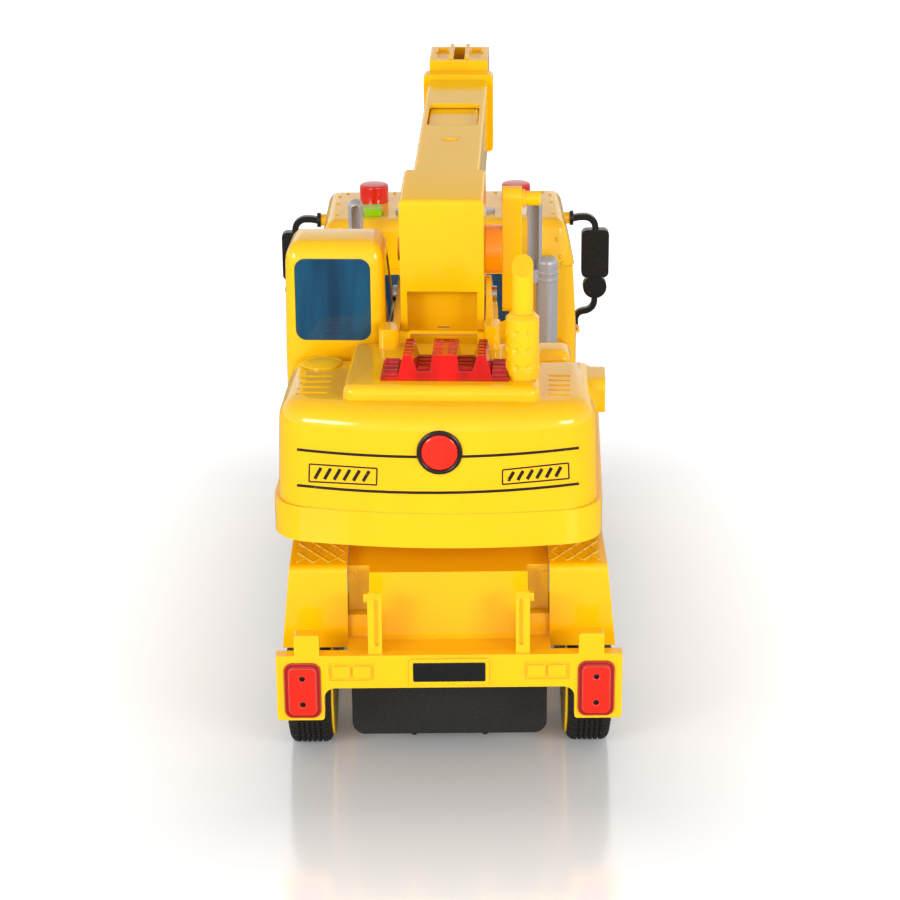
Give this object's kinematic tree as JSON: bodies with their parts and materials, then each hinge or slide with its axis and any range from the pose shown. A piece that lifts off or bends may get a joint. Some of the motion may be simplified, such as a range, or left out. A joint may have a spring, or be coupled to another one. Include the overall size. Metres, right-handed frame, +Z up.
{
  "type": "toy truck crane",
  "caption": "Toy truck crane with free-rolling wheels, a friction drive, a slewing turret with operator cab, and a raising, telescoping boom with hand winch and hook.",
  "frame": {"origin": "on the ground under the middle of the truck", "axes": "+Z up, +Y towards the front of the truck, +X to its right"},
  "size_m": [0.149, 0.3174, 0.2307],
  "materials": {
    "yellow_plastic": "glossy yellow moulded plastic",
    "amber_plastic": "glossy amber moulded plastic",
    "black_plastic": "fine-grained matte black plastic",
    "black_gloss": "smooth black plastic",
    "grey_plastic": "silver-grey plastic",
    "white_plastic": "glossy white plastic",
    "green_plastic": "glossy lime-green plastic",
    "nylon": "natural nylon",
    "red_clear": "translucent red plastic",
    "blue_clear": "translucent blue plastic",
    "lamp_clear": "clear plastic",
    "tyre": "moulded black tyre",
    "steel": "bright steel",
    "board": "green circuit board",
    "cell": "jacketed dry cell"
  },
  "bodies": {
    "truck": {"chassis_shell": "yellow_plastic", "base_pan": "black_plastic", "rear_bumper": "yellow_plastic", "tail_lamps": "red_clear", "number_plate": "black_gloss", "slew_ring": "yellow_plastic", "rear_platform": "yellow_plastic", "side_lockers": "yellow_plastic", "battery_door": "black_plastic", "battery_cells": "cell", "pan_screws": "steel", "speaker": "black_plastic", "motor_frame": "nylon", "cab_body": "yellow_plastic", "cab_roof": "yellow_plastic", "cab_glass": "blue_clear", "cab_seat": "black_plastic", "grille": "black_plastic", "headlamps": "lamp_clear", "front_bumper": "yellow_plastic", "beacons": "red_clear", "roof_strip": "grey_plastic", "circuit_board": "board", "exhaust_stacks": "grey_plastic", "left_mirror": "black_gloss", "right_mirror": "black_gloss"},
    "rear_wheelset": {"rear_axle": "steel", "drive_gear": "nylon", "rear_hubs": "yellow_plastic", "rear_tyres": "tyre"},
    "mid_wheelset": {"mid_axle": "steel", "mid_hubs": "yellow_plastic", "mid_tyres": "tyre"},
    "front_wheelset": {"front_axle": "steel", "front_hubs": "yellow_plastic", "front_tyres": "tyre"},
    "idler": {"idler_gear": "nylon"},
    "motor_flywheel": {"flywheel": "steel"},
    "green_press": {"green_button": "green_plastic"},
    "white_press": {"white_button": "white_plastic"},
    "turret": {"turret_base": "yellow_plastic", "turret_shell": "yellow_plastic", "slew_washer": "steel", "slew_screw": "steel", "boom_towers": "yellow_plastic", "engine_block": "red_clear", "muffler": "yellow_plastic", "filler_cap": "yellow_plastic", "operator_cab": "yellow_plastic", "operator_glass": "blue_clear", "operator_seat": "black_plastic", "boom_pin": "steel"},
    "boom": {"boom_shell": "yellow_plastic", "boom_collar": "yellow_plastic"},
    "winch": {"winch_drum": "amber_plastic", "crank": "yellow_plastic"},
    "extension": {"boom_extension": "yellow_plastic", "boom_head": "yellow_plastic"},
    "pulley": {"head_pulley": "black_gloss"},
    "load_hook": {"hook": "grey_plastic"}
  },
  "joints": [
    {"name": "rear_wheel_spin", "type": "hinge", "parent": "truck", "child": "rear_wheelset", "pos_m": [0, -0.104, 0.027], "axis": [1, 0, 0], "continuous": true},
    {"name": "mid_wheel_spin", "type": "hinge", "parent": "truck", "child": "mid_wheelset", "pos_m": [0, -0.044, 0.027], "axis": [1, 0, 0], "continuous": true},
    {"name": "front_wheel_spin", "type": "hinge", "parent": "truck", "child": "front_wheelset", "pos_m": [0, 0.112, 0.027], "axis": [1, 0, 0], "continuous": true},
    {"name": "idler_spin", "type": "hinge", "parent": "truck", "child": "idler", "pos_m": [0, -0.0872, 0.027], "axis": [1, 0, 0], "continuous": true},
    {"name": "flywheel_spin", "type": "hinge", "parent": "truck", "child": "motor_flywheel", "pos_m": [0, -0.0712, 0.027], "axis": [1, 0, 0], "continuous": true},
    {"name": "green_button_press", "type": "slide", "parent": "truck", "child": "green_press", "axis": [0, 0, -1], "range_m": [0, 0.0015], "stiffness_N_per_m": 400},
    {"name": "white_button_press", "type": "slide", "parent": "truck", "child": "white_press", "axis": [0, 0, -1], "range_m": [0, 0.0015], "stiffness_N_per_m": 400},
    {"name": "turret_slew", "type": "hinge", "parent": "truck", "child": "turret", "pos_m": [0, -0.063, 0.099], "axis": [0, 0, 1], "continuous": true},
    {"name": "boom_raise", "type": "hinge", "parent": "turret", "child": "boom", "pos_m": [-0.00038, -0.07099, 0.167], "axis": [0.9989, -0.0471, 0], "range_deg": [0, 44.5]},
    {"name": "boom_extend", "type": "slide", "parent": "boom", "child": "extension", "axis": [0.0469, 0.9943, 0.0958], "range_m": [0, 0.085]},
    {"name": "winch_spin", "type": "hinge", "parent": "boom", "child": "winch", "pos_m": [-0.00034, -0.07013, 0.18416], "axis": [0.9989, -0.0471, 0], "continuous": true},
    {"name": "pulley_spin", "type": "hinge", "parent": "extension", "child": "pulley", "pos_m": [0.00679, 0.08098, 0.21671], "axis": [0.9989, -0.0471, 0], "continuous": true},
    {"name": "hook_swing", "type": "hinge", "parent": "extension", "child": "load_hook", "pos_m": [0.00716, 0.08879, 0.20018], "axis": [0.9989, -0.0471, 0], "range_deg": [-46, 60]}
  ],
  "couplings": [
    {"joint": "idler_spin", "follows": "rear_wheel_spin", "ratio": -3.2},
    {"joint": "flywheel_spin", "follows": "rear_wheel_spin", "ratio": 9.6}
  ]
}
